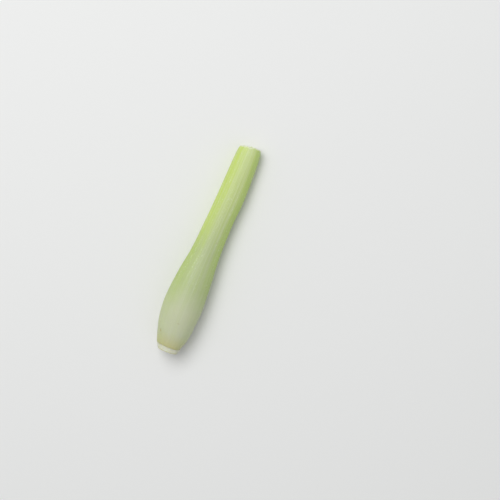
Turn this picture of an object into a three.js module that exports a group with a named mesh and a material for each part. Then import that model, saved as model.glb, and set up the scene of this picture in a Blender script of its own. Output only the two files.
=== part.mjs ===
// A cut and trimmed lemongrass stalk, lying on its side.
// Three leaf sheaths are rolled one inside the other round a heart of young leaves, and all of them
// stand on the root plate, the disc of stem that is left where the roots were cut off.
// Each sheath goes a little more than once round, so that one of its margins lies over the other.
// Millimetres and degrees, +Z up. The stalk lies along +X, its foot at -X and its cut top at +X.
// The origin is on the floor, under the middle of the stalk.
import * as THREE from "three";

// Driving dimensions
const stalkLength = 120;
const girth = [ // distance from the foot, radius
  [0, 5.9], [2.7, 6.8], [6, 7.9], [9.5, 8.85], [14, 9.85], [26, 10.9], [42, 9.85],
  [58, 8.05], [76, 7.35], [92, 7.4], [108, 6.95], [117, 6.4], [120, 5.6],
];
const sidewaysBow = [ // distance from the foot, how far the stalk bends to +Y
  [0, 0.45], [3, 1.0], [9, 1.2], [15, 1.6], [21, 1.85], [33, 1.95],
  [47, 1.7], [58, 1.25], [76, 0.75], [90, 0.1], [104, -0.05], [120, 0],
];
const flattening = 0.06; // how much less high than wide the stalk is
const settling = 0.25; // depth of the flat spots that it lies on
const bulbContact = 26; // where the bulb touches the floor, from the foot
const topContact = 113; // where the thin end touches it

// Leaf sheaths
const wallShare = 0.155; // a sheath's thickness over the stalk's radius there
const marginThickness = 0.62; // of the two margins, where they overlap
const edgeThickness = 0.3; // of a margin at its very edge
const edgeTaper = 8; // degrees over which the edge thins
const clearance = 0.3; // between a sheath and what it wraps
const overlap = 22; // degrees by which one margin lies over the other
const ramp = 28; // degrees over which the under margin comes up to the outside
const cutTilt = 0.085; // slope of the cut top, which reaches further out on the -Y side
const cutRise = 0.2; // its other slope, which reaches further out on the upper side
const cutWave = 0.3; // depth of the dips in the cut
const cutDip = 70; // where the dip that shows is; the other is opposite

// Foot of the outer sheath, shaved flat on one side
const shavedSide = 165; // the side that the flat faces
const shavedStart = 5.25; // its distance from the centre line, if it ran on to the foot
const shavedSlope = 0.372; // how fast it leaves the centre line

// Root plate
const plateBand = 2.7; // height of the band that shows below the outer sheath
const plateInset = 0.22; // how far that band stands in from the sheath above it
const plateDome = 0.35; // rise of its hidden top, per millimetre towards the middle
const plateGroove = 0.14; // depth of the scar ring round the band
const plateChamfer = 0.35; // of its cut edge
const footTilt = 0.03; // slope of its cut face, which reaches further out on the +Y side
const plateSides = 36;

const sheaths = [ // from the outside in; the seam is where the margins overlap, and it turns along the stalk
  { name: "outer_sheath", seam: -48, turn: 12, columns: 44, stations: 24, color: 0xbccb98, trim: 0.3 },
  { name: "second_sheath", seam: 134, turn: -8, columns: 34, stations: 16, color: 0xc6d490, trim: 0.15 },
  { name: "third_sheath", seam: 44, turn: 10, columns: 30, stations: 14, color: 0xd3de9f, trim: 0 },
];
const heartSides = 28;
const heartStations = 14;
const pithRadius = 0.45; // the hollow in the middle of the heart's cut face
const pithTaper = 0.7; // its radius at the bottom, over that at the mouth
const pithDepth = 2.5;

const { degToRad, euclideanModulo, lerp, smoothstep } = THREE.MathUtils;

// Smooth curve through points [x, y]; the slope at each point is that between its neighbours.
function through(points, x) {
  const last = points.length - 1;
  let i = 0;
  while (i < last - 1 && x > points[i + 1][0]) i += 1;
  const slopeAt = (k) => {
    const [xa, ya] = points[Math.max(k - 1, 0)];
    const [xb, yb] = points[Math.min(k + 1, last)];
    return (yb - ya) / (xb - xa);
  };
  const [x0, y0] = points[i];
  const [x1, y1] = points[i + 1];
  const step = x1 - x0;
  const t = (x - x0) / step;
  const chord = y0 * (1 + 2 * t) * (1 - t) ** 2 + y1 * t * t * (3 - 2 * t);
  return chord + step * t * (1 - t) * (slopeAt(i) * (1 - t) - slopeAt(i + 1) * t);
}

// An angle brought into -180 to 180.
function wrapped(degrees) {
  return euclideanModulo(degrees + 180, 360) - 180;
}

const radiusAt = (s) => through(girth, s);
const wallAt = (s) => wallShare * radiusAt(s);
const undersideAt = (s) => radiusAt(s) * (1 - flattening);
const seamAt = (sheath, s) => sheath.seam + (sheath.turn * s) / stalkLength;
const fall = (undersideAt(bulbContact) - undersideAt(topContact)) / (topContact - bulbContact);

// The stalk's centre line, which slopes down to the thin end because both contacts are on the floor.
function centre(s) {
  const height = undersideAt(bulbContact) - settling - fall * (s - bulbContact);
  return new THREE.Vector3(s, through(sidewaysBow, s), height);
}

// The point at an angle and a distance from the centre line. The angle runs from +Y over the top.
function around(s, degrees, radius) {
  const point = centre(s);
  point.y += radius * Math.cos(degToRad(degrees));
  point.z += radius * Math.sin(degToRad(degrees));
  point.z = Math.max(point.z, 0); // flat where it lies on the floor
  return point;
}

// A radius made less towards the top and the underside.
function flattened(degrees, radius) {
  return radius * (1 - flattening * Math.sin(degToRad(degrees)) ** 2);
}

// Radius of the space that is left inside the first few sheaths; with none, the stalk's own radius.
function envelope(depth, s, degrees) {
  let radius = flattened(degrees, radiusAt(s));
  for (const sheath of sheaths.slice(0, depth)) {
    const fromSeam = Math.abs(wrapped(degrees - seamAt(sheath, s)));
    const doubled = 1 - smoothstep(fromSeam, overlap / 2, overlap / 2 + ramp);
    radius -= clearance + lerp(wallAt(s), 2 * marginThickness + clearance, doubled);
  }
  return radius;
}

// Keeps a radius inside the flat that was shaved off the outer sheath's foot.
function shaved(s, degrees, radius) {
  const facing = Math.cos(degToRad(degrees - shavedSide));
  const flat = shavedStart + shavedSlope * s;
  return facing > 0 ? Math.min(radius, flat / facing) : radius;
}

// Where the cut top lies along the stalk, at an angle and a distance from the centre line.
function topCut(degrees, radius, trim) {
  const tilt = cutTilt * radius * Math.cos(degToRad(degrees));
  const rise = cutRise * radius * Math.sin(degToRad(degrees));
  const wave = cutWave * Math.cos(degToRad(degrees - cutDip)) ** 4;
  return stalkLength - trim - tilt + rise - wave;
}

// The root plate's domed top at a radius, along the stalk.
function plateTop(radius) {
  return plateBand + plateDome * Math.max(radiusAt(plateBand) - radius, 0);
}

// Shares of the way from foot to top, closer together at both ends, where the outline curves most.
function stationShares(count) {
  const crowding = 0.45;
  return Array.from({ length: count + 1 }, (_, i) => {
    const t = i / count;
    const eased = t < 0.5 ? 2 * t * t : 1 - 2 * (1 - t) ** 2;
    return lerp(t, eased, crowding);
  });
}

// Evenly spaced angles round the stalk.
function turns(count) {
  return Array.from({ length: count }, (_, i) => (360 * i) / count);
}

function solid(points, triangles) {
  const geometry = new THREE.BufferGeometry().setFromPoints(points);
  geometry.setIndex(triangles);
  geometry.computeVertexNormals();
  return geometry;
}

function quad(triangles, a, b, c, d) {
  triangles.push(a, b, c, a, c, d);
}

// Joins closed rings of equal size into a skin.
function skin(triangles, rings, size) {
  for (let ring = 0; ring < rings - 1; ring++)
    for (let i = 0; i < size; i++) {
      const a = ring * size + i;
      const b = ring * size + ((i + 1) % size);
      quad(triangles, a, b, b + size, a + size);
    }
}

// Outer radius and thickness of a sheath, at an angle counted from the edge of its under margin.
// Margins are thin, the under one is sunk below the over one, and the over one's edge slopes down.
function rolled(depth, s, degrees, turned) {
  const risen = smoothstep(turned, overlap, overlap + ramp);
  const thinned = smoothstep(turned, 360 - ramp, 360);
  const edgeLoss = marginThickness - edgeThickness;
  const underEdge = edgeLoss * (1 - smoothstep(turned, 0, edgeTaper));
  const overEdge = edgeLoss * smoothstep(turned, 360 + overlap - edgeTaper, 360 + overlap);
  const wall = lerp(marginThickness, wallAt(s), risen * (1 - thinned)) - underEdge - overEdge;
  const sunk = (marginThickness + clearance) * (1 - risen);
  return { radius: envelope(depth, s, degrees) - sunk - overEdge, wall };
}

// A leaf sheath: a rolled strip with an outer and an inner face, closed at its foot and its top.
function sheathGeometry(sheath, depth) {
  const { columns, stations, trim } = sheath;
  const points = [];
  for (const share of stationShares(stations)) {
    const outer = [];
    const inner = [];
    for (let i = 0; i <= columns; i++) {
      const turned = (i / columns) * (360 + overlap);
      const start = sheath.seam - overlap / 2 + turned;
      const top = topCut(start, envelope(depth, stalkLength, start), trim);
      const outerFoot = plateTop(envelope(depth, plateBand, start)) + clearance;
      const innerFoot = outerFoot + plateDome * wallAt(plateBand);
      const outerAt = lerp(outerFoot, top, share);
      const innerAt = lerp(innerFoot, top, share);
      const degrees = seamAt(sheath, outerAt) - overlap / 2 + turned;
      const { radius, wall } = rolled(depth, outerAt, degrees, turned);
      outer.push(around(outerAt, degrees, depth === 0 ? shaved(outerAt, degrees, radius) : radius));
      inner.push(around(innerAt, degrees, radius - wall));
    }
    points.push(...outer, ...inner.reverse());
  }
  const size = 2 * (columns + 1);
  const lastRing = stations * size;
  const triangles = [];
  skin(triangles, stations + 1, size);
  for (let i = 0; i < columns; i++) {
    const facing = size - 1 - i; // the inner point opposite the outer point i
    quad(triangles, i + 1, i, facing, facing - 1);
    quad(triangles, lastRing + i, lastRing + i + 1, lastRing + facing - 1, lastRing + facing);
  }
  return solid(points, triangles);
}

// A closed round body from rings of points, foot first, with a point at both ends.
function roundBody(rings, footPoint, topPoint) {
  const size = rings[0].length;
  const points = [...rings.flat(), footPoint, topPoint];
  const footIndex = rings.length * size;
  const lastRing = footIndex - size;
  const triangles = [];
  skin(triangles, rings.length, size);
  for (let i = 0; i < size; i++) {
    const next = (i + 1) % size;
    triangles.push(next, i, footIndex);
    triangles.push(lastRing + i, lastRing + next, footIndex + 1);
  }
  return solid(points, triangles);
}

// The heart fills the innermost sheath, with a small pith hollow in its cut face.
function heartGeometry() {
  const depth = sheaths.length;
  const foot = plateTop(0) + clearance;
  const angles = turns(heartSides);
  const rings = stationShares(heartStations).map((share) =>
    angles.map((degrees) => {
      const top = topCut(degrees, envelope(depth, stalkLength, degrees), 0);
      const s = lerp(foot, top, share);
      return around(s, degrees, envelope(depth, s, degrees));
    }),
  );
  const bottom = stalkLength - pithDepth;
  rings.push(angles.map((degrees) => around(topCut(degrees, pithRadius, 0), degrees, pithRadius)));
  rings.push(angles.map((degrees) => around(bottom, degrees, pithRadius * pithTaper)));
  return roundBody(rings, around(foot, 0, 0), around(bottom, 0, 0));
}

// The root plate: a disc with a slanting cut face, a scar ring round its band, and a domed top that
// the sheaths and the heart stand on.
function rootPlateGeometry() {
  const scarAt = 0.55 * plateBand;
  const scarHalf = 0.25;
  const bandRadius = (s) => radiusAt(s) - plateInset;
  const rim = bandRadius(plateBand);
  const outline = [ // distance from the foot, radius, share of the cut face's slant
    [0, bandRadius(0) - plateChamfer, 1],
    [plateChamfer, bandRadius(plateChamfer), 1],
    [scarAt - scarHalf, bandRadius(scarAt - scarHalf), 0.4],
    [scarAt, bandRadius(scarAt) - plateGroove, 0.4],
    [scarAt + scarHalf, bandRadius(scarAt + scarHalf), 0.4],
    [plateBand, rim, 0],
    [plateTop(rim / 2), rim / 2, 0],
  ];
  const rings = outline.map(([s, radius, slant]) =>
    turns(plateSides).map((degrees) => {
      const reach = slant * footTilt * radius * Math.cos(degToRad(degrees));
      return around(s - reach, degrees, flattened(degrees, radius));
    }),
  );
  return roundBody(rings, around(0, 0, 0), around(plateTop(0), 0, 0));
}

function piece(name, geometry, color, roughness) {
  const material = new THREE.MeshStandardMaterial({ color, roughness, metalness: 0 });
  const mesh = new THREE.Mesh(geometry, material);
  mesh.name = name;
  return mesh;
}

const stalk = new THREE.Group();
sheaths.forEach((sheath, depth) => {
  stalk.add(piece(sheath.name, sheathGeometry(sheath, depth), sheath.color, 0.5));
});
stalk.add(piece("heart", heartGeometry(), 0xe6e8c6, 0.55));
stalk.add(piece("root_plate", rootPlateGeometry(), 0xd6d2b4, 0.65));

// Moves the stalk so that the origin lies under its middle.
const middle = new THREE.Box3().setFromObject(stalk, true).getCenter(new THREE.Vector3());
stalk.position.set(-middle.x, -middle.y, 0);

export default stalk;
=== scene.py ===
import math

import bpy
import numpy as np
from mathutils import Matrix, Vector


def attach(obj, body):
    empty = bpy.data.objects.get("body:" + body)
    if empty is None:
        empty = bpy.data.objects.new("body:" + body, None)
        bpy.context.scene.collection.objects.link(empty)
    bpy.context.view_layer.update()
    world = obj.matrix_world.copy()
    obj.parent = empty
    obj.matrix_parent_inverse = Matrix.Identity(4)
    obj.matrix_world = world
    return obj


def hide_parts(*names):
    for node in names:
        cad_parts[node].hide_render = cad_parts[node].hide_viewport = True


# A cut lemongrass stalk on a pale floor, in the frame of its solids: metres, +X from foot to cut top.
# Shapes are worked out in millimetres from the foot along the stalk, and in degrees round it, where
# 0 is the +Y side and 90 is the top. The meshes are in metres.

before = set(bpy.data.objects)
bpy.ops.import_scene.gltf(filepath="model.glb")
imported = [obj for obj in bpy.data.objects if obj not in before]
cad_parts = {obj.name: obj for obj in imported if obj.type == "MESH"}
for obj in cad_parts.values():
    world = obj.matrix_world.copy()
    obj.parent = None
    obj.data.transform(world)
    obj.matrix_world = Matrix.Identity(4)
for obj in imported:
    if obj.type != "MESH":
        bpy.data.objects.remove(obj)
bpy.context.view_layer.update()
metres = 0.001


# Camera: looks down on the stalk from the photo's angle

view = {
    "photoSize": 500,
    "stalkPixel": (209.0, 249.9),  # middle of the stalk in the photo
    "stalkAngle": 67.6,  # degrees from the photo's horizontal up to the stalk
    "millimetresPerPixel": 0.5445,
    "lean": 9.0,  # degrees that the camera leans from overhead towards the cut top
    "distance": 900.0,
    "sensor": 36.0,
    "nearest": 0.05,  # metres, nearer things aren't drawn
    "lookAt": (-0.27, -1.7, 9.0),  # middle of the stalk, in the frame
}


def makeCamera():
    lean = math.radians(view["lean"])
    roll = math.radians(view["stalkAngle"])
    back = Vector((math.sin(lean), 0, math.cos(lean)))
    along = Vector((math.cos(lean), 0, -math.sin(lean)))  # the stalk's direction, as the picture shows it
    left = back.cross(along)
    right = along * math.cos(roll) - left * math.sin(roll)
    up = along * math.sin(roll) + left * math.cos(roll)
    scale = view["millimetresPerPixel"]
    middle = view["photoSize"] / 2
    shiftRight = (middle - view["stalkPixel"][0]) * scale
    shiftUp = (view["stalkPixel"][1] - middle) * scale
    aim = Vector(view["lookAt"]) + right * shiftRight + up * shiftUp
    data = bpy.data.cameras.new("photoCamera")
    data.sensor_width = view["sensor"]
    data.lens = view["sensor"] * view["distance"] / (view["photoSize"] * scale)
    data.dof.use_dof = False
    data.clip_start = view["nearest"]
    camera = bpy.data.objects.new("photoCamera", data)
    turn = Matrix((right, up, back)).transposed()
    camera.matrix_world = Matrix.Translation((aim + back * view["distance"]) * metres) @ turn.to_4x4()
    bpy.context.scene.collection.objects.link(camera)
    bpy.context.scene.camera = camera


makeCamera()
print("camera")


# Shape of the stalk: the same centre line and girth as the solids

stalk = {
    "length": 120.0,
    "girth": [  # distance from the foot, radius
        (0, 5.9), (2.7, 6.8), (6, 7.9), (9.5, 8.85), (14, 9.85), (26, 10.9), (42, 9.85),
        (58, 8.05), (76, 7.35), (92, 7.4), (108, 6.95), (117, 6.4), (120, 5.6),
    ],
    "bow": [  # distance from the foot, how far it bends to +Y
        (0, 0.45), (3, 1.0), (9, 1.2), (15, 1.6), (21, 1.85), (33, 1.95),
        (47, 1.7), (58, 1.25), (76, 0.75), (90, 0.1), (104, -0.05), (120, 0),
    ],
    "origin": (60.325, 1.909),  # the frame's origin: distance from the foot, and to +Y of the straight line
    "flattening": 0.06,  # how much less high than wide it is
    "settling": 0.25,  # depth of the flat spots that it lies on
    "bulbContact": 26.0,  # where the bulb lies on the floor, from the foot
    "topContact": 113.0,
    "wallShare": 0.155,  # a sheath's thickness over the radius, with the gap below left out
    "solidGap": 0.3,  # gap between the layers of the solids
    "gap": 0.07,  # gap between the layers here
    "marginThickness": 0.5,
    "edgeThickness": 0.22,  # of a margin at its very edge
    "edgeTaper": 5.0,  # degrees over which the edge thins
    "overlap": 22.0,  # degrees by which one margin lies over the other
    "ramp": 28.0,  # degrees over which the under margin comes up to the outside
    "thinning": 6.0,  # degrees over which the over margin thins, where the under one begins
    "cutTilt": 0.085,  # slopes of the cut top, to the -Y side and to the upper side
    "cutRise": 0.2,
    "rim": [  # waves in the rim of the cut top: degrees round, depth, width in degrees
        (77, 0.45, 11), (99, -0.4, 16), (250, 0.3, 35),
    ],
    "ragged": 0.05,  # fine raggedness of that rim
    "shavedSide": 165.0,  # the side on which a knife left the foot flat
    "shavedStart": 5.25,  # the flat's distance from the centre line at the foot, and how fast it grows
    "shavedSlope": 0.372,
    "plateBand": 2.7,  # height of the root plate's band
    "plateDome": 0.35,  # rise of the plate's hidden top, per millimetre towards the middle
    "plateInset": 0.08,
    "footTilt": 0.03,  # slope of the cut foot
}


# Smooth curve through points: cubic pieces, each with the slope between its neighbours at its ends
def through(points, x):
    xs, ys = np.array(points, float).T
    slopes = np.empty_like(xs)
    slopes[1:-1] = (ys[2:] - ys[:-2]) / (xs[2:] - xs[:-2])
    slopes[0] = (ys[1] - ys[0]) / (xs[1] - xs[0])
    slopes[-1] = (ys[-1] - ys[-2]) / (xs[-1] - xs[-2])
    i = np.clip(np.searchsorted(xs, x, side="right") - 1, 0, len(xs) - 2)
    step = xs[i + 1] - xs[i]
    t = (x - xs[i]) / step
    chord = ys[i] * (1 + 2 * t) * (1 - t) ** 2 + ys[i + 1] * t * t * (3 - 2 * t)
    return chord + step * t * (1 - t) * (slopes[i] * (1 - t) - slopes[i + 1] * t)


# 0 below low, 1 above high, and 3t^2 - 2t^3 between them
def smooth(low, high, x):
    t = np.clip((x - low) / (high - low), 0, 1)
    return t * t * (3 - 2 * t)


# A bump of height 1 at the middle, that falls off as exp(-d^2)
def bump(x, middle, width):
    return np.exp(-(((x - middle) / width) ** 2))


# Degrees between two angles, from -180 to 180
def turnBetween(degrees, other):
    return (degrees - other + 180) % 360 - 180


# Soft unevenness of about -1 to 1: a sum of sine waves over two coordinates, with whole turns round
# the stalk in the first, and directions and phases drawn with a seed
def unevenness(seed, degrees, s, turns, wavelength, count=12):
    draw = np.random.default_rng(seed)
    total = np.zeros(np.broadcast(degrees, s).shape)
    for _ in range(count):
        roundwise = draw.integers(-turns, turns + 1)
        lengthwise = draw.uniform(-1, 1) * 2 * math.pi / wavelength
        total += np.sin(np.radians(degrees) * roundwise + s * lengthwise + draw.uniform(0, 2 * math.pi))
    return total / math.sqrt(count)


# Radius of the stalk: a smooth curve through its girth
def radiusAt(s):
    return through(stalk["girth"], s)


# Thickness of a sheath: a share of the radius, and what the gap here is narrower than the solids'
def wallAt(s):
    return stalk["wallShare"] * radiusAt(s) + stalk["solidGap"] - stalk["gap"]


# Centre line: x runs along, y is the bow, and z falls in a straight line between the two contacts
def centreLine(s):
    lowest = [radiusAt(stalk[end]) * (1 - stalk["flattening"]) for end in ("bulbContact", "topContact")]
    fall = (lowest[0] - lowest[1]) / (stalk["topContact"] - stalk["bulbContact"])
    height = lowest[0] - stalk["settling"] - fall * (s - stalk["bulbContact"])
    along, side = stalk["origin"]
    return np.stack([s - along, through(stalk["bow"], s) - side, height], -1)


# Point at an angle and a radius: centre + radius (0, cos, sin), and no lower than the floor
def around(s, degrees, radius):
    s, degrees, radius = np.broadcast_arrays(s, degrees, radius)
    angle = np.radians(degrees)
    ring = np.stack([np.zeros_like(angle), np.cos(angle), np.sin(angle)], -1)
    points = centreLine(s) + radius[..., None] * ring
    points[..., 2] = np.maximum(points[..., 2], 0)
    return points


# A radius that is less at the top and the bottom: radius (1 - flattening sin^2)
def flattened(degrees, radius):
    return radius * (1 - stalk["flattening"] * np.sin(np.radians(degrees)) ** 2)


# The stalk's radius less the walls of the first few sheaths, which are doubled where margins overlap
def envelope(depth, s, degrees):
    radius = flattened(degrees, radiusAt(s))
    for sheath in sheaths[:depth]:
        fromSeam = np.abs(turnBetween(degrees, seamAt(sheath, s)))
        doubled = 1 - smooth(stalk["overlap"] / 2, stalk["overlap"] / 2 + stalk["ramp"], fromSeam)
        thick = 2 * stalk["marginThickness"] + stalk["gap"]
        radius = radius - stalk["gap"] - wallAt(s) * (1 - doubled) - np.maximum(thick, wallAt(s)) * doubled
    return radius


# Degrees round the stalk of a sheath's seam, which turns evenly along it
def seamAt(sheath, s):
    return sheath["seam"] + sheath["turn"] * s / stalk["length"]


# Outer radius and wall of a rolled sheath: the under margin is sunk, both margins and edges are thin
def rolled(depth, s, degrees, turned):
    full = 360 + stalk["overlap"]
    margin = stalk["marginThickness"]
    risen = smooth(stalk["overlap"], stalk["overlap"] + stalk["ramp"], turned)
    thinned = smooth(360 - stalk["thinning"], 360, turned)
    edgeLoss = margin - stalk["edgeThickness"]
    underEdge = edgeLoss * (1 - smooth(0, stalk["edgeTaper"], turned))
    overEdge = edgeLoss * smooth(full - stalk["edgeTaper"], full, turned)
    share = risen * (1 - thinned)
    wall = margin * (1 - share) + wallAt(s) * share - underEdge - overEdge
    radius = envelope(depth, s, degrees) - (margin + stalk["gap"]) * (1 - risen) - overEdge
    return radius, wall


# Cut top: a plane that slants two ways, less the waves in its rim, with fine raggedness
def topCut(degrees, radius, trim):
    tilt = stalk["cutTilt"] * radius * np.cos(np.radians(degrees))
    rise = stalk["cutRise"] * radius * np.sin(np.radians(degrees))
    waves = sum(depth * bump(turnBetween(degrees, at), 0, width) for at, depth, width in stalk["rim"])
    ragged = stalk["ragged"] * unevenness(5, degrees, radius * 0, turns=24, wavelength=50)
    return stalk["length"] - trim - tilt + rise - waves - ragged


# The root plate's domed top, which the sheaths stand on: it rises evenly towards the middle
def plateTop(radius):
    return stalk["plateBand"] + stalk["plateDome"] * np.maximum(radiusAt(stalk["plateBand"]) - radius, 0)


# Meshes from grids of points

# Quads of a grid of vertex numbers; flipped ones face the other way
def gridFaces(index, flipped=False):
    corners = [index[:-1, :-1], index[:-1, 1:], index[1:, 1:], index[1:, :-1]]
    if flipped:
        corners.reverse()
    return np.stack(corners, -1).reshape(-1, 4)


# Faces of a closed body of rings: quads between them, and a fan at each end round one of two last points
def closedRings(rows, columns):
    index = np.arange(rows * columns).reshape(rows, columns)
    looped = np.concatenate([index, index[:, :1]], 1)
    firstFan = np.stack([looped[0, 1:], looped[0, :-1], np.full(columns, rows * columns)], 1)
    lastFan = np.stack([looped[-1, :-1], looped[-1, 1:], np.full(columns, rows * columns + 1)], 1)
    return [*gridFaces(looped), *firstFan, *lastFan]


# Points are in millimetres; each attribute holds one value, or one vector, for each point
def addPiece(name, points, faces, attributes, node):
    mesh = bpy.data.meshes.new(name)
    mesh.from_pydata(points * metres, [], [face.tolist() for face in faces])
    for attributeName, values in attributes.items():
        kind, field = ("FLOAT", "value") if values.ndim == 1 else ("FLOAT_VECTOR", "vector")
        attribute = mesh.attributes.new(attributeName, kind, "POINT")
        attribute.data.foreach_set(field, values.astype(np.float32).ravel())
    mesh.polygons.foreach_set("use_smooth", np.ones(len(mesh.polygons), bool))
    mesh.update()
    piece = bpy.data.objects.new(name, mesh)
    bpy.context.scene.collection.objects.link(piece)
    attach(piece, "root")
    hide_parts(node)
    print(name, len(points), "points")
    return piece


# Where a point is on the plant: the direction round it as a unit circle, and the share of its length
def plantPlace(degrees, s):
    degrees, s = np.broadcast_arrays(degrees, s)
    angle = np.radians(degrees)
    return np.stack([np.cos(angle), np.sin(angle), s / stalk["length"]], -1)


# Shares from 0 to 1 that crowd towards both ends
def crowded(count, crowding):
    t = np.linspace(0, 1, count)
    eased = np.where(t < 0.5, 2 * t * t, 1 - 2 * (1 - t) ** 2)
    return t * (1 - crowding) + eased * crowding


# Leaf sheaths: rolled strips with an outer and an inner face, cut faces with fibres, and thin margins

# Seam: its degrees round the foot, and turn: by how many it turns up to the top. Columns go round and
# stations along, crowded towards both ends. Trim: how much shorter it is cut. Rib and swell: heights of
# the skin's relief, and ribs: their number in a full turn
sheaths = [
    {"name": "outerSheath", "node": "outer_sheath", "slot": "outer_leaf", "seam": -48, "turn": 12,
     "columns": 300, "stations": 140, "crowding": 0.55, "trim": 0.3, "rib": 0.028, "ribs": 58, "swell": 0.05},
    {"name": "secondSheath", "node": "second_sheath", "slot": "inner_leaf", "seam": 134, "turn": -8,
     "columns": 200, "stations": 60, "crowding": 0.8, "trim": 0.12, "rib": 0.02, "ribs": 44, "swell": 0.0},
    {"name": "thirdSheath", "node": "third_sheath", "slot": "inner_leaf", "seam": 44, "turn": 10,
     "columns": 160, "stations": 60, "crowding": 0.8, "trim": 0.0, "rib": 0.02, "ribs": 36, "swell": 0.0},
]
sheathEdges = {
    "rows": 8,  # rows of points across a cut wall
    "topFibres": 0.07,  # how far fibres stand out of the cut top
    "footFibres": -0.05,
    "footRagged": 0.06,
    "footClearance": 0.05,
    # the pale cut tissue, and partly a painted highlight along the rim of the cut top
    "paleTopAndHighlight": (0.95, 0.4),  # how pale the skin is at the cut top, and one row before it
    "paleMargin": 14,  # degrees over which the over margin turns pale
}


# Keeps a radius inside the flat that a knife left on the foot: flat / cos of the angle from its side
def shaved(s, degrees, radius):
    least = 0.2  # the flat reaches no further round than this cosine
    facing = np.cos(np.radians(degrees - stalk["shavedSide"]))
    flat = stalk["shavedStart"] + stalk["shavedSlope"] * s
    return np.where(facing > least, np.minimum(radius, flat / np.maximum(facing, least)), radius)


# A sheath: columns go round from the under margin to the over one, and rows from the foot to the top
def makeSheath(depth):
    sheath = sheaths[depth]
    share = crowded(sheath["stations"], sheath["crowding"])[:, None]
    turned = np.linspace(0, 360 + stalk["overlap"], sheath["columns"])[None, :]
    start = sheath["seam"] - stalk["overlap"] / 2 + turned
    top = topCut(start, envelope(depth, stalk["length"], start), sheath["trim"])
    ragged = sheathEdges["footRagged"] * unevenness(11 + depth, start, start * 0, turns=20, wavelength=50)
    footGap = stalk["gap"] + sheathEdges["footClearance"]
    outerFoot = plateTop(envelope(depth, stalk["plateBand"], start)) + footGap + ragged
    innerFoot = outerFoot + stalk["plateDome"] * wallAt(stalk["plateBand"])
    outerAt = outerFoot + (top - outerFoot) * share
    innerAt = innerFoot + (top - innerFoot) * share
    degrees = seamAt(sheath, outerAt) - stalk["overlap"] / 2 + turned
    radius, wall = rolled(depth, outerAt, degrees, turned)
    skin = radius + reliefOf(sheath, outerAt, degrees, turned)
    if depth == 0:
        skin = shaved(outerAt, degrees, skin)
    outer = around(outerAt, degrees, skin)
    inner = around(innerAt, degrees, radius - wall)
    topFace = cutFace(outer[-1], inner[-1], degrees[-1], sheathEdges["topFibres"], 31 + depth)
    footFace = cutFace(outer[0], inner[0], degrees[0], sheathEdges["footFibres"], 41 + depth)
    points = np.concatenate([part.reshape(-1, 3) for part in (outer, inner, topFace, footFace)])
    faces = sheathFaces(*degrees.shape)
    attributes = sheathAttributes(degrees, outerAt, innerAt, turned)
    return addPiece(sheath["name"], points, faces, attributes, sheath["node"])


# Faces of the outside, the inside, the two margins and the two cut ends
def sheathFaces(rows, columns):
    cutRows = sheathEdges["rows"]
    outer = np.arange(rows * columns).reshape(rows, columns)
    inner = outer + rows * columns
    topCap = np.arange(cutRows * columns).reshape(cutRows, columns) + 2 * rows * columns
    footCap = topCap + cutRows * columns
    topGrid = np.concatenate([outer[-1:], topCap, inner[-1:]])
    footGrid = np.concatenate([outer[:1], footCap, inner[:1]])
    quads = np.concatenate([
        gridFaces(outer),
        gridFaces(inner, flipped=True),
        gridFaces(np.stack([outer[:, -1], inner[:, -1]], 1)),
        gridFaces(np.stack([inner[:, 0], outer[:, 0]], 1)),
        gridFaces(topGrid),
        gridFaces(footGrid, flipped=True),
    ])
    # The cut ends' rows of points end in two margins each, which these polygons close
    closing = [topGrid[:, 0], topGrid[::-1, -1], footGrid[::-1, 0], footGrid[:, -1]]
    return [*quads, *closing]


# What the skin's colours read: the place on the plant, 1 on the cut faces, and 1 at the over margin's edge
def sheathAttributes(degrees, outerAt, innerAt, turned):
    full = 360 + stalk["overlap"]
    cutRows = sheathEdges["rows"]
    rows, columns = degrees.shape
    count = rows * columns
    ends = [(degrees[-1], stalk["length"]), (degrees[0], 0.0)]
    capPlaces = [plantPlace(np.repeat(row[None, :], cutRows, 0), at) for row, at in ends]
    places = [plantPlace(degrees, outerAt), plantPlace(degrees, innerAt), *capPlaces]
    cut = np.zeros(2 * (count + cutRows * columns))
    cut[2 * count:] = 1
    # The skin's last rows at the top take the cut colour: pale cut tissue, and partly a painted highlight
    # along the rim
    cut[count - columns:count], cut[count - 2 * columns:count - columns] = sheathEdges["paleTopAndHighlight"]
    margin = np.zeros(len(cut))
    margin[:count] = (smooth(full - sheathEdges["paleMargin"], full, turned) + 0 * outerAt).ravel()
    return {
        "place": np.concatenate([place.reshape(-1, 3) for place in places]),
        "cut": cut,
        "margin": margin,
    }


skinRelief = {
    "drift": 1.2,  # how far the ribs wander to the side, in radians of their wave
    "strength": (0.6, 0.4),  # of the ribs: its mean, and how much it changes
    "swellStart": (1, 12),  # swells come in and fade out over these distances from the foot
    "swellEnd": (104, 119),
    "floorWidth": 28,  # degrees either side of the floor where they fade as well
}


# Relief of a sheath's skin: ribs, a cosine round the sheath that drifts to the side, and soft swells, a
# sum of waves that fades out at both ends and over the floor
def reliefOf(sheath, s, degrees, turned):
    mean, change = skinRelief["strength"]
    drift = skinRelief["drift"] * unevenness(21, degrees, s, turns=2, wavelength=160)
    strength = mean + change * unevenness(22, degrees, s, turns=5, wavelength=45)
    ribs = sheath["rib"] * strength * np.cos(np.radians(turned) * sheath["ribs"] + drift)
    swells = sheath["swell"] * unevenness(23, degrees, s, turns=3, wavelength=38)
    inside = smooth(*skinRelief["swellStart"], s) * (1 - smooth(*skinRelief["swellEnd"], s))
    offFloor = 1 - bump(turnBetween(degrees, -90), 0, skinRelief["floorWidth"])
    return ribs + swells * inside * offFloor


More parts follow.
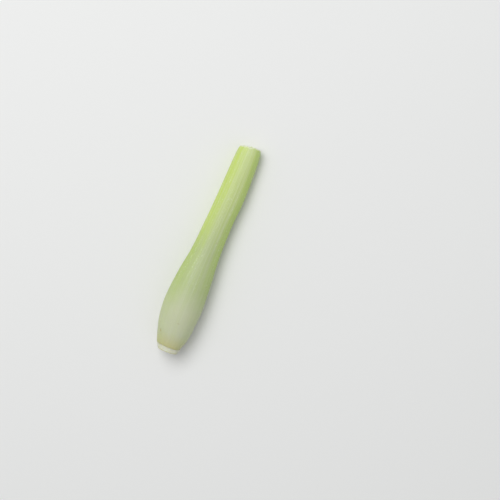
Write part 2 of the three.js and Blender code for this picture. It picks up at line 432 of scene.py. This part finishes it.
# Rows of points across a cut wall, raised along the stalk by fibres: a sum of fine waves
def cutFace(outer, inner, degrees, height, seed):
    rows = sheathEdges["rows"]
    across = (np.arange(1, rows + 1) / (rows + 1))[:, None]
    flat = outer * (1 - across[..., None]) + inner * across[..., None]
    bundles = unevenness(seed, degrees, across, turns=60, wavelength=0.35, count=30)
    flat[..., 0] += height * bundles * np.sin(across * math.pi)
    return flat


sheathPieces = [makeSheath(depth) for depth in range(len(sheaths))]


# Heart: a roll of young leaves, whose cut face shows the spiral of their edges round a small hollow

heart = {
    "columns": 160,
    "stations": 60,
    "crowding": 0.8,
    "rings": 40,  # rows of points from the rim of its cut face to the hollow
    "turnsOfLeaf": 2.6,
    "groove": 0.16,  # depth of the lines between the young leaves
    "grooveWidth": 0.1,  # of a layer
    "grooveStart": (0.0, 0.08),  # shares of the way to the hollow where the lines come in and fade out
    "grooveEnd": (0.86, 1.0),
    "proud": 0.12,  # how far the roll stands out inside its rim
    "proudStart": (0.0, 0.12),
    "paleRows": 1.5,  # rows of points at the rim over which the side turns as pale as the cut
    "fibres": 0.035,
    "hollowRadius": 0.42,
    "hollowDepth": 2.5,
    "hollowNarrowing": 0.6,  # radius of the hollow's floor over that of its mouth
    "hollowSide": (0.25, 0.15),  # the hollow is off the middle
    "hollowShade": (0.15, 0.5, 0.9, 1.0),  # how dark the last rows of points are
}


# Heart: a closed body of rings from the foot up its side, over the cut face and down into the hollow
def makeHeart():
    depth = len(sheaths)
    degrees = np.arange(heart["columns"])[None, :] * 360 / heart["columns"]
    rim = envelope(depth, stalk["length"], degrees)
    foot = plateTop(0.0) + stalk["gap"]
    share = crowded(heart["stations"], heart["crowding"])[:, None]
    at = foot + (topCut(degrees, rim, 0.0) - foot) * share
    body = around(at, degrees, envelope(depth, at, degrees))
    face = heartFace(degrees, rim)
    floor = face[-1].mean(0) - np.array([heart["hollowDepth"], 0, 0])
    deep = floor + (face[-1] - face[-1].mean(0)) * heart["hollowNarrowing"]
    rings = np.concatenate([body, face, deep[None]])
    rows, columns = rings.shape[:2]
    middles = [around(foot, 0.0, 0.0)[None], floor[None]]  # of the foot and the hollow's floor
    points = np.concatenate([rings.reshape(-1, 3), *middles])
    faceRows = np.arange(rows)[:, None] - heart["stations"]
    cut = np.repeat(np.clip((faceRows + heart["paleRows"]) / heart["paleRows"], 0, 1), columns, 1)
    leafLine = np.zeros((rows, columns))
    leafLine[heart["stations"]:-1] = spiral(degrees, faceShares()[1:])
    hollow = np.zeros((rows, columns))
    # Painted shade: the hollow's last rows darken towards its floor
    hollow[-len(heart["hollowShade"]):] = np.array(heart["hollowShade"])[:, None]
    rowsAt = np.concatenate([at, np.full((rows - len(at), columns), stalk["length"])])
    places = plantPlace(np.repeat(degrees, rows, 0), rowsAt)
    attributes = {
        "place": np.concatenate([places.reshape(-1, 3), [[0, 0, 0], [0, 0, 1]]]),
        "cut": np.append(cut.ravel(), [0, 1]),
        "leafLine": np.append(leafLine.ravel(), [0, 0]),
        "hollow": np.append(hollow.ravel(), [0, 1]),
    }
    return addPiece("heartRoll", points, closedRings(rows, columns), attributes, "heart")


# Shares of the way from the rim of the heart's cut face to its hollow
def faceShares():
    return np.linspace(0, 1, heart["rings"])[:, None]


# Nearness to the line between two rolled leaves: the line moves in by one layer in each turn
def spiral(degrees, share):
    layer = share * heart["turnsOfLeaf"] - degrees / 360
    fromLine = np.abs(layer - np.round(layer))
    inside = smooth(*heart["grooveStart"], share) * (1 - smooth(*heart["grooveEnd"], share))
    return bump(fromLine, 0, heart["grooveWidth"]) * inside


# The cut face: rings that shrink from the rim to the hollow, sunk along the spiral
def heartFace(degrees, rim):
    share = faceShares()[1:]
    radius = rim * (1 - share) + heart["hollowRadius"] * share
    base = around(topCut(degrees, radius, 0.0) + 0 * radius, degrees, radius)
    base[..., 1] += heart["hollowSide"][0] * share
    base[..., 2] += heart["hollowSide"][1] * share
    fibres = heart["fibres"] * unevenness(51, degrees, share, turns=30, wavelength=0.25, count=24)
    lift = heart["proud"] * smooth(*heart["proudStart"], share) - heart["groove"] * spiral(degrees, share)
    base[..., 0] += lift + fibres * (1 - share)
    return base


heartPiece = makeHeart()


# Root plate: the trimmed disc of stem, with scar rings round its band and a fibrous cut face

plate = {
    "columns": 240,
    "bandRows": 34,
    "faceRows": 34,
    "domeRows": 8,
    "chamfer": 0.3,  # height of the rounded lower edge
    "chamferLoss": 0.18,  # what the rounding takes off the radius
    "innermost": 0.05,  # radius of the first ring of points on the cut face
    "scars": [  # distance from the foot, depth, width
        (0.9, 0.10, 0.16), (1.55, 0.16, 0.2), (2.25, 0.07, 0.14),
    ],
    "scarWander": 0.12,
    "roughness": 0.05,
    "calmRadius": 2.0,  # nearer the middle the cut face is less rough
    "insideAt": 4.0,  # where the hidden dome counts as being along the plant, for its colour
    "rootScars": 26,  # cut roots, seen as low buttons on the cut face
    "rootSpread": 5.3,  # distance from the middle that they keep within
    "rootShares": (0.12, 0.9),  # of the area within it
    "rootHeight": (0.1, 0.22),
    "rootWidth": (0.3, 0.5),
    "knifeMarks": [  # height, waves per millimetre to the side and up, in radians
        (0.05, 2.1, 0.6), (0.03, 5.3, -1.4),
    ],
}


# Root plate: a closed body of rings, from the middle of the cut face out, up the band and over the dome
def makeRootPlate():
    degrees = np.arange(plate["columns"])[None, :] * 360 / plate["columns"]
    rim = radiusAt(stalk["plateBand"]) - stalk["plateInset"]
    foot = radiusAt(0.0) - stalk["plateInset"] - plate["chamferLoss"]

    inward = np.linspace(0, 1, plate["faceRows"], endpoint=False)[::-1][:, None]
    faceRadius = foot * (1 - inward) + plate["innermost"]
    faceAt = footCut(degrees, faceRadius)
    face = around(faceAt, degrees, flattened(degrees, faceRadius))

    up = np.linspace(0, 1, plate["bandRows"])[1:, None]
    bandAt = stalk["plateBand"] * up
    rounded = plate["chamferLoss"] * bump(bandAt, 0, plate["chamfer"])
    bandRadius = radiusAt(bandAt) - stalk["plateInset"] - rounded
    wander = plate["scarWander"] * unevenness(61, degrees, degrees * 0, turns=3, wavelength=50)
    for scarAt, scarDepth, scarWidth in plate["scars"]:
        bandRadius = bandRadius - scarDepth * bump(bandAt, scarAt + wander, scarWidth)
    bandRadius = bandRadius + plate["roughness"] * unevenness(62, degrees, bandAt, turns=14, wavelength=2.5)
    slant = stalk["footTilt"] * bandRadius * np.cos(np.radians(degrees)) * (1 - up)
    band = around(bandAt - slant, degrees, flattened(degrees, bandRadius))

    inside = np.linspace(0, 1, plate["domeRows"], endpoint=False)[1:, None]
    domeRadius = rim * (1 - inside) + 0 * degrees
    dome = around(plateTop(domeRadius), degrees, flattened(degrees, domeRadius))

    rings = np.concatenate([face, band, dome])
    rows, columns = rings.shape[:2]
    middles = [face[0].mean(0)[None], around(plateTop(0.0), 0.0, 0.0)[None]]  # of the cut face and the dome
    points = np.concatenate([rings.reshape(-1, 3), *middles])
    cut = np.zeros((rows, columns))
    cut[: plate["faceRows"]] = 1
    radial = np.ones((rows, columns))
    radial[: plate["faceRows"]] = faceRadius / foot
    domeAt = np.full(dome.shape[:2], plate["insideAt"])
    rowsAt = np.concatenate([faceAt, bandAt + 0 * degrees, domeAt])
    places = plantPlace(np.repeat(degrees, rows, 0), rowsAt)
    attributes = {
        "place": np.concatenate([places.reshape(-1, 3), [[0, 0, 0], [0, 0, 0.04]]]),
        "cut": np.append(cut.ravel(), [1, 0]),
        "radial": np.append(radial.ravel(), [0, 0]),
    }
    return addPiece("rootPlate", points, closedRings(rows, columns), attributes, "root_plate")


# The foot's cut: a slanting plane with knife marks, and low buttons where roots were cut through
def footCut(degrees, radius):
    slant = stalk["footTilt"] * radius * np.cos(np.radians(degrees))
    y = radius * np.cos(np.radians(degrees))
    z = radius * np.sin(np.radians(degrees))
    knife = sum(height * np.sin(y * toSide + z * upward) for height, toSide, upward in plate["knifeMarks"])
    draw = np.random.default_rng(64)
    buttons = np.zeros_like(y)
    for _ in range(plate["rootScars"]):
        distance = plate["rootSpread"] * math.sqrt(draw.uniform(*plate["rootShares"]))
        angle = draw.uniform(0, 2 * math.pi)
        apart = np.hypot(y - distance * math.cos(angle), z - distance * math.sin(angle))
        buttons += draw.uniform(*plate["rootHeight"]) * bump(apart, 0, draw.uniform(*plate["rootWidth"]))
    rough = plate["roughness"] * unevenness(63, degrees, radius, turns=12, wavelength=1.6, count=20)
    calmMiddle = np.minimum(radius / plate["calmRadius"], 1)
    return knife + rough * calmMiddle - slant - buttons


platePiece = makeRootPlate()


# Materials: shader maths as expressions on sockets

class Term:
    # A number or colour that a node gives, with operators that add Math nodes
    def __init__(self, paint, socket):
        self.paint = paint
        self.socket = socket

    def maths(self, operation, first, second):
        return self.paint.node("ShaderNodeMath", {"operation": operation}, {0: first, 1: second})

    def __add__(self, other):
        return self.maths("ADD", self, other)

    def __radd__(self, other):
        return self.maths("ADD", other, self)

    def __sub__(self, other):
        return self.maths("SUBTRACT", self, other)

    def __rsub__(self, other):
        return self.maths("SUBTRACT", other, self)

    def __mul__(self, other):
        return self.maths("MULTIPLY", self, other)

    def __rmul__(self, other):
        return self.maths("MULTIPLY", other, self)


class Paint:
    # One material's node tree
    def __init__(self, name):
        self.material = bpy.data.materials.new(name)
        self.material.use_nodes = True
        self.tree = self.material.node_tree
        self.tree.nodes.clear()

    # Adds a node: its settings first, then values or links for its sockets, and gives one output
    def node(self, kind, settings=None, sockets=None, output=0, stops=None):
        made = self.tree.nodes.new(kind)
        for key, value in (settings or {}).items():
            setattr(made, key, value)
        if stops:
            self.setStops(made.color_ramp, stops)
        for key, value in (sockets or {}).items():
            if isinstance(value, Term):
                self.tree.links.new(value.socket, made.inputs[key])
            else:
                made.inputs[key].default_value = value
        return Term(self, made.outputs[output]) if len(made.outputs) else made

    def setStops(self, ramp, stops):
        while len(ramp.elements) < len(stops):
            ramp.elements.new(1.0)
        for element, (position, colour) in zip(ramp.elements, stops):
            element.position = position
            element.color = (*colour, 1)

    def attribute(self, name, output="Fac"):
        return self.node("ShaderNodeAttribute", {"attribute_name": name}, output=output)

    # 0 below low, 1 above high, and smooth between them
    def step(self, value, low, high):
        sockets = {"Value": value, "From Min": low, "From Max": high}
        return self.node("ShaderNodeMapRange", {"interpolation_type": "SMOOTHSTEP"}, sockets)

    def ramp(self, value, stops):
        return self.node("ShaderNodeValToRGB", {}, {"Fac": value}, "Color", stops)

    def mix(self, factor, first, second):
        settings = {"data_type": "RGBA", "clamp_factor": True}
        sockets = {0: factor, 6: asColour(first), 7: asColour(second)}
        return self.node("ShaderNodeMix", settings, sockets, 2)

    def stretched(self, vector, scale):
        return self.node("ShaderNodeVectorMath", {"operation": "MULTIPLY"}, {0: vector, 1: scale})

    # Noise of about 0 to 1, with so many waves a unit in X, Y and Z
    def noise(self, vector, waves, detail=2.0, roughness=0.5):
        sockets = {"Vector": self.stretched(vector, waves), "Scale": 1.0}
        return self.node("ShaderNodeTexNoise", {}, {**sockets, "Detail": detail, "Roughness": roughness})

    # Distance to the nearest of scattered points, with so many a unit in X, Y and Z
    def scatter(self, vector, counts):
        sockets = {"Vector": self.stretched(vector, counts), "Scale": 1.0}
        return self.node("ShaderNodeTexVoronoi", {"feature": "F1"}, sockets, "Distance")

    # The finished material: a colour, a roughness and a height for the bumps, over what all surfaces share
    def surface(self, colour, roughness, height, bumpDistance):
        bumpSockets = {"Height": height, "Distance": bumpDistance, "Strength": 1.0}
        bumped = self.node("ShaderNodeBump", {}, bumpSockets)
        sockets = {"Base Color": colour, "Roughness": roughness, "Normal": bumped, **flesh}
        shader = self.node("ShaderNodeBsdfPrincipled", {}, sockets)
        self.node("ShaderNodeOutputMaterial", {}, {"Surface": shader})
        return self.material


# A term as it is, and a plain colour with its alpha
def asColour(value):
    return value if isinstance(value, Term) else (*value, 1)


# A colour picked as 0 to 255, brought by the sRGB formula to the linear values that shaders take
def picked(red, green, blue):
    shares = np.array([red, green, blue]) / 255
    return tuple(np.where(shares <= 0.04045, shares / 12.92, ((shares + 0.055) / 1.055) ** 2.4).tolist())


flesh = {  # what all surfaces of the plant have alike: light goes a little way into them
    "Subsurface Weight": 0.35,
    "Subsurface Radius": (1.0, 1.1, 0.5),
    "Subsurface Scale": 0.0012,
    "Specular IOR Level": 0.42,
    "IOR": 1.42,
}

leafColours = {
    "footTint": picked(200, 194, 138),  # just above the root plate
    "bulb": picked(199, 204, 172),
    "middle": picked(184, 196, 148),
    "upper": picked(199, 212, 146),
    "top": picked(207, 221, 151),
    "lime": picked(200, 222, 100),
    "lowerLime": picked(180, 202, 112),
    "limeStreak": picked(188, 213, 92),
    # painted reflected light: the saturated green that the -Y side is tinted with
    "paintedRightLight": picked(184, 214, 92),
    "pale": picked(218, 227, 190),
    "vein": picked(164, 183, 112),
    # painted highlight: the near-white of tiny glints in rows on the skin
    "paintedGlint": picked(238, 245, 226),
    "rust": picked(172, 148, 82),
    "margin": picked(214, 218, 172),
    "cutFace": picked(238, 243, 216),
    "cutLine": picked(216, 224, 172),
    "footCut": picked(214, 206, 160),
}

marks = [  # distance from the foot, degrees round, length and width in millimetres, strength
    (10.3, 41, 0.9, 0.55, 0.5),
    (9.0, 45, 1.6, 0.25, 0.3),
    (12.6, 31, 2.2, 0.25, 0.3),
    (17.9, 99, 0.3, 0.9, 0.3),
    (66.0, 118, 0.7, 0.3, 0.2),
    (31.0, 205, 1.8, 0.5, 0.45),
    (47.0, 262, 3.0, 0.6, 0.4),
    (88.0, 232, 1.2, 0.35, 0.4),
]


skin = {
    "patterns": {  # waves in the three coordinates of place, detail, roughness
        "broad": ((2.4, 2.4, 3.0), 3.0, 0.5),
        "streaks": ((10.0, 10.0, 2.4), 3.0, 0.6),
        "veins": ((26.0, 26.0, 1.5), 2.0, 0.5),
        "fineVeins": ((64.0, 64.0, 4.0), 2.0, 0.5),
        "mottle": ((9.0, 9.0, 60.0), 3.0, 0.5),
        "rows": ((6.0, 6.0, 3.4), 1.0, 0.5),
        "fibres": ((44.0, 44.0, 1.0), 2.0, 0.5),
    },
    "alongStalk": [  # share of the length, colour
        (0.015, "footTint"), (0.095, "bulb"), (0.2, "bulb"), (0.32, "middle"), (0.5, "middle"),
        (0.76, "upper"), (1.0, "top"),
    ],
    "layers": [  # pattern, sign of the parts that it colours, where it starts and is full, weight, colour
        ("streaks", 1, 0.48, 0.74, 0.32, "limeStreak"),
        ("streaks", -1, 0.48, 0.74, 0.34, "pale"),
        ("veins", 1, 0.5, 0.72, 0.32, "vein"),
        ("veins", -1, 0.54, 0.74, 0.4, "pale"),
        ("fineVeins", 1, 0.52, 0.75, 0.22, "vein"),
    ],
    "broadShift": 0.15,  # share of the length by which broad patches shift what starts along the stalk
    "layersStart": (0.22, 0.78),
    "layersLeast": 0.25,  # strength of the layers below that, and what it gains above
    "layersGain": 0.6,
    "edgeWander": (0.6, 0.5),  # how far broad patches and streaks shift the edge of the lime side
    "limeEdge": (0.1, 0.95),  # on the circle round the stalk, where +Y is 1
    # where the lime band comes in: it starts low, so its deeper green below the middle is partly painted
    # shade of a neighbouring stalk
    "limeAndShadeStart": (0.1, 0.45),
    "limeAndShadeWeight": (0.2, 0.65),
    "limeTurn": (0.42, 0.68),  # where the lime of the foot gives way to that of the top
    # where the -Y side is tinted with painted reflected light, in place of fill light
    "paintedRightEdge": (0.45, 0.95),
    "paintedRightStart": (0.12, 0.6),
    "paintedRightWander": 0.4,
    "paintedRightWeight": (0.12, 0.6),
    "mottleStep": (0.5, 0.8),
    "mottleWeight": 0.12,
    # Painted highlights: near-white flecks in rows stand in for tiny glints on the skin
    "glintCounts": (17.0, 17.0, 78.0),
    "glintBend": 0.5,  # how far the veins bend the edge of a fleck
    "glintStep": (0.1, 0.4),
    "glintRows": (0.48, 0.68),
    "glintStart": (0.24, 0.42),
    "glintWeight": 0.48,
    "marginWeight": 0.6,
    "cutTurn": (0.3, 0.7),  # where the colour of the foot's cut gives way to that of the top's
    "cutLines": (0.42, 0.72),
    "cutLineWeight": 0.8,
    "rustBend": 1.2,  # how far the mottle bends the edge of a rusty mark, and where that edge lies
    "rustEdge": (0.4, 1.2),
    "roughness": 0.42,
    "roughnessChange": (0.14, -0.1, 0.15),  # by broad patches, flecks and the cut
    "relief": (0.9, 0.6, 0.25, 0.1),  # height of streaks, veins, fine veins and flecks
    "reliefDepth": 0.00012,  # metres that a height of 1 seems to stand out
}


# Skin of a sheath. Colour goes along the stalk, a lime band lies on the +Y side and streaks into the
# middle, and pale and green streaks of three widths follow the veins. The -Y side gets painted
# reflected light, a saturated green, and rows of near-white flecks are painted highlights
def leafMaterial(name):
    paint = Paint(name)
    place = paint.attribute("place", "Vector")
    side, _, along = [
        paint.node("ShaderNodeSeparateXYZ", {}, {"Vector": place}, axis) for axis in ("X", "Y", "Z")
    ]
    pattern = {key: paint.noise(place, *values) for key, values in skin["patterns"].items()}
    broad, streaks, veins = pattern["broad"] - 0.5, pattern["streaks"] - 0.5, pattern["veins"] - 0.5
    shifted = along + broad * skin["broadShift"]
    strength = skin["layersLeast"] + skin["layersGain"] * paint.step(shifted, *skin["layersStart"])

    base = paint.ramp(along, [(at, leafColours[colour]) for at, colour in skin["alongStalk"]])
    lime = paint.mix(paint.step(along, *skin["limeTurn"]), leafColours["lowerLime"], leafColours["lime"])
    wander = broad * skin["edgeWander"][0] + streaks * skin["edgeWander"][1]
    # The lime band is the skin's own colour; its early start below the middle is partly painted shade of a
    # neighbouring stalk
    least, gain = skin["limeAndShadeWeight"]
    onLeft = paint.step(side + wander, *skin["limeEdge"])
    base = paint.mix(onLeft * (least + gain * paint.step(along, *skin["limeAndShadeStart"])), base, lime)
    # Painted light: the -Y side is tinted a saturated green, in place of fill light and of light reflected
    # from neighbouring stalks
    least, gain = skin["paintedRightWeight"]
    paintedRightMask = paint.step(0.0 - side + wander * skin["paintedRightWander"], *skin["paintedRightEdge"])
    weight = least + gain * paint.step(shifted, *skin["paintedRightStart"])
    base = paint.mix(paintedRightMask * weight, base, leafColours["paintedRightLight"])
    for key, sign, start, full, weight, colour in skin["layers"]:
        shown = pattern[key] if sign > 0 else 1 - pattern[key]
        base = paint.mix(paint.step(shown, start, full) * strength * weight, base, leafColours[colour])
    mottled = paint.step(pattern["mottle"], *skin["mottleStep"]) * skin["mottleWeight"]
    base = paint.mix(mottled, base, leafColours["pale"])

    # Painted highlights: near-white flecks in rows along the veins stand in for tiny glints; they are also a
    # little smoother and raised
    apart = paint.scatter(place, skin["glintCounts"]) + veins * skin["glintBend"]
    rows = paint.step(pattern["rows"], *skin["glintRows"]) * paint.step(along, *skin["glintStart"])
    glintFlecks = (1 - paint.step(apart, *skin["glintStep"])) * rows
    base = paint.mix(glintFlecks * skin["glintWeight"], base, leafColours["paintedGlint"])
    base = paint.mix(rust(paint, place, pattern["mottle"]), base, leafColours["rust"])
    base = paint.mix(paint.attribute("margin") * skin["marginWeight"], base, leafColours["margin"])

    cut = paint.attribute("cut")
    cutFace = paint.mix(paint.step(along, *skin["cutTurn"]), leafColours["footCut"], leafColours["cutFace"])
    lines = paint.step(pattern["fibres"], *skin["cutLines"]) * skin["cutLineWeight"]
    base = paint.mix(cut, base, paint.mix(lines, cutFace, leafColours["cutLine"]))

    high, middling, low, lowest = skin["relief"]
    ribs = (pattern["streaks"] * high + pattern["veins"] * middling) * strength
    relief = ribs + pattern["fineVeins"] * low + glintFlecks * lowest
    byBroad, byGlintFlecks, byCut = skin["roughnessChange"]
    roughness = skin["roughness"] + broad * byBroad + glintFlecks * byGlintFlecks + cut * byCut
    return paint.surface(base, roughness, relief, skin["reliefDepth"])


# Small rusty marks: each is 1 at its own place, and fades out over its length and width
def rust(paint, place, mottle):
    total = 0.0
    for s, degrees, length, width, strength in marks:
        angle = math.radians(degrees)
        across = float(radiusAt(s)) / width
        lengthwise = stalk["length"] / length
        spot = (math.cos(angle) * across, math.sin(angle) * across, s / stalk["length"] * lengthwise)
        scaled = paint.stretched(place, (across, across, lengthwise))
        apart = paint.node("ShaderNodeVectorMath", {"operation": "DISTANCE"}, {0: scaled, 1: spot}, "Value")
        bent = apart + (mottle - 0.5) * skin["rustBend"]
        total = total + (1 - paint.step(bent, *skin["rustEdge"])) * strength
    return total


heartLook = {
    "side": picked(210, 220, 164),
    "face": picked(240, 240, 208),
    "pinkish": picked(236, 227, 196),
    "line": picked(196, 198, 140),
    "hollow": picked(146, 134, 88),
    "fine": ((30.0, 30.0, 2.0), 3.0),  # waves, detail
    "cloudy": ((3.0, 3.0, 3.0), 2.0),
    "fineStep": (0.5, 0.8),
    "fineWeight": 0.3,
    "lineWeight": 0.75,
    "roughness": 0.55,
    "roughnessChange": 0.2,
    "reliefDepth": 0.00006,
}


# Heart: pale, faintly pink to the middle, with darker lines between the rolls, and painted shade that
# darkens the hollow to brown towards its floor
def heartMaterial():
    paint = Paint("heartLeaves")
    place = paint.attribute("place", "Vector")
    fine = paint.noise(place, *heartLook["fine"])
    cloudy = paint.noise(place, *heartLook["cloudy"])
    face = paint.mix(cloudy, heartLook["face"], heartLook["pinkish"])
    fineLines = paint.step(fine, *heartLook["fineStep"]) * heartLook["fineWeight"]
    face = paint.mix(fineLines, face, heartLook["line"])
    face = paint.mix(paint.attribute("leafLine") * heartLook["lineWeight"], face, heartLook["line"])
    # Painted shade in the hollow, darker brown towards its floor
    face = paint.mix(paint.attribute("hollow"), face, heartLook["hollow"])
    colour = paint.mix(paint.attribute("cut"), heartLook["side"], face)
    roughness = heartLook["roughness"] + (fine - 0.5) * heartLook["roughnessChange"]
    return paint.surface(colour, roughness, fine, heartLook["reliefDepth"])


plateLook = {
    "band": picked(224, 227, 203),
    "bandPink": picked(221, 219, 197),
    "fringe": picked(204, 198, 132),
    "ring": picked(182, 176, 138),
    "face": picked(218, 213, 180),
    "faceRing": picked(194, 180, 138),
    "bundle": picked(176, 154, 108),
    "cloudy": ((3.0, 3.0, 60.0), 3.0),  # waves, detail
    "lines": ((4.0, 4.0, 420.0), 3.0),
    "pinkStep": (0.35, 0.7),
    "lineStep": (0.5, 0.72),
    "lineWeight": 0.35,
    "fringeEnd": 0.005,  # share of the stalk's length up to which the lower edge is yellowish
    "fringeWeight": 0.7,
    "bundleCounts": (0.0, 1700.0, 1700.0),  # bundle ends per metre
    "bundleStep": (0.08, 0.3),
    "bundleWeight": 0.5,
    "faceRings": 9.0,  # waves from the middle to the rim, and how far cloudy patches bend them
    "ringBend": 1.2,
    "ringStep": (0.4, 0.7),
    "ringWeight": 0.6,
    "rimStep": (0.86, 1.0),
    "bundleDip": (0.1, 0.3),  # where the relief rises from a bundle end to the face round it
    "cloudyRelief": 0.4,
    "roughness": 0.6,
    "roughnessChange": 0.15,
    "reliefDepth": 0.00008,
}


# Root plate: dull pinkish white, yellowish at the lower edge, with rings and dark bundle ends
def plateMaterial():
    paint = Paint("rootPlateCut")
    place = paint.attribute("place", "Vector")
    radial = paint.attribute("radial")
    cut = paint.attribute("cut")
    along = paint.node("ShaderNodeSeparateXYZ", {}, {"Vector": place}, "Z")
    cloudy = paint.noise(place, *plateLook["cloudy"])
    lines = paint.noise(place, *plateLook["lines"])
    band = paint.mix(paint.step(cloudy, *plateLook["pinkStep"]), plateLook["band"], plateLook["bandPink"])
    lined = paint.step(lines, *plateLook["lineStep"]) * plateLook["lineWeight"]
    band = paint.mix(lined, band, plateLook["ring"])
    lowerEdge = (1 - paint.step(along, 0.0, plateLook["fringeEnd"])) * plateLook["fringeWeight"]
    band = paint.mix(lowerEdge, band, plateLook["fringe"])

    objectPlace = paint.node("ShaderNodeTexCoord", {}, {}, "Object")
    bundles = paint.scatter(objectPlace, plateLook["bundleCounts"])
    outward = radial * plateLook["faceRings"] + cloudy * plateLook["ringBend"]
    rings = paint.noise(paint.node("ShaderNodeCombineXYZ", {}, {"X": outward}), (1.0, 1.0, 1.0))
    ringed = paint.step(rings, *plateLook["ringStep"]) * plateLook["ringWeight"]
    face = paint.mix(ringed, plateLook["face"], plateLook["faceRing"])
    dotted = (1 - paint.step(bundles, *plateLook["bundleStep"])) * plateLook["bundleWeight"]
    face = paint.mix(dotted, face, plateLook["bundle"])
    rim = paint.step(radial, *plateLook["rimStep"]) * plateLook["fringeWeight"]
    face = paint.mix(rim, face, plateLook["fringe"])
    dips = paint.step(bundles, *plateLook["bundleDip"])
    relief = lines * (1 - cut) + dips * cut + cloudy * plateLook["cloudyRelief"]
    roughness = plateLook["roughness"] + (cloudy - 0.5) * plateLook["roughnessChange"]
    return paint.surface(paint.mix(cut, band, face), roughness, relief, plateLook["reliefDepth"])


leaf = leafMaterial("leafSkin")
for piece in sheathPieces:
    piece.data.materials.append(leaf)
heartPiece.data.materials.append(heartMaterial())
platePiece.data.materials.append(plateMaterial())
print("materials")


# Stage: a plain pale floor, a soft light from the picture's top and a weak one from its lower right, and
# a pale sky

studio = {
    "floorSize": 12.0,
    "floorColour": (0.86, 0.86, 0.85),
    "floorRoughness": 0.9,
    "skyColour": (0.97, 0.99, 1.0),
    "skyStrength": 0.4,
    "lights": [  # name, place in metres, size, power in watts
        ("keyLight", (0.42, 0.42, 1.14), 0.8, 10.6),
        ("fillLight", (-0.5, -0.7, 1.2), 1.2, 0.6),
    ],
}


def makeFloor():
    half = studio["floorSize"] / 2
    corners = [(-half, -half, 0), (half, -half, 0), (half, half, 0), (-half, half, 0)]
    mesh = bpy.data.meshes.new("floor")
    mesh.from_pydata(corners, [], [(0, 1, 2, 3)])
    floor = bpy.data.objects.new("floor", mesh)
    bpy.context.scene.collection.objects.link(floor)
    paint = Paint("paleFloor")
    sockets = {"Base Color": (*studio["floorColour"], 1), "Roughness": studio["floorRoughness"]}
    shader = paint.node("ShaderNodeBsdfPrincipled", {}, sockets)
    paint.node("ShaderNodeOutputMaterial", {}, {"Surface": shader})
    mesh.materials.append(paint.material)


def makeLights():
    for name, place, size, power in studio["lights"]:
        data = bpy.data.lights.new(name, "AREA")
        data.energy = power
        data.size = size
        light = bpy.data.objects.new(name, data)
        light.location = place
        light.rotation_euler = (-Vector(place)).to_track_quat("-Z", "Y").to_euler()
        bpy.context.scene.collection.objects.link(light)


def makeSky():
    world = bpy.data.worlds.new("paleSky")
    world.use_nodes = True
    background = world.node_tree.nodes["Background"]
    background.inputs["Color"].default_value = (*studio["skyColour"], 1)
    background.inputs["Strength"].default_value = studio["skyStrength"]
    bpy.context.scene.world = world
    bpy.context.scene.view_settings.view_transform = "Standard"  # keeps the picked colours as they are


makeFloor()
makeLights()
makeSky()
print("stage")
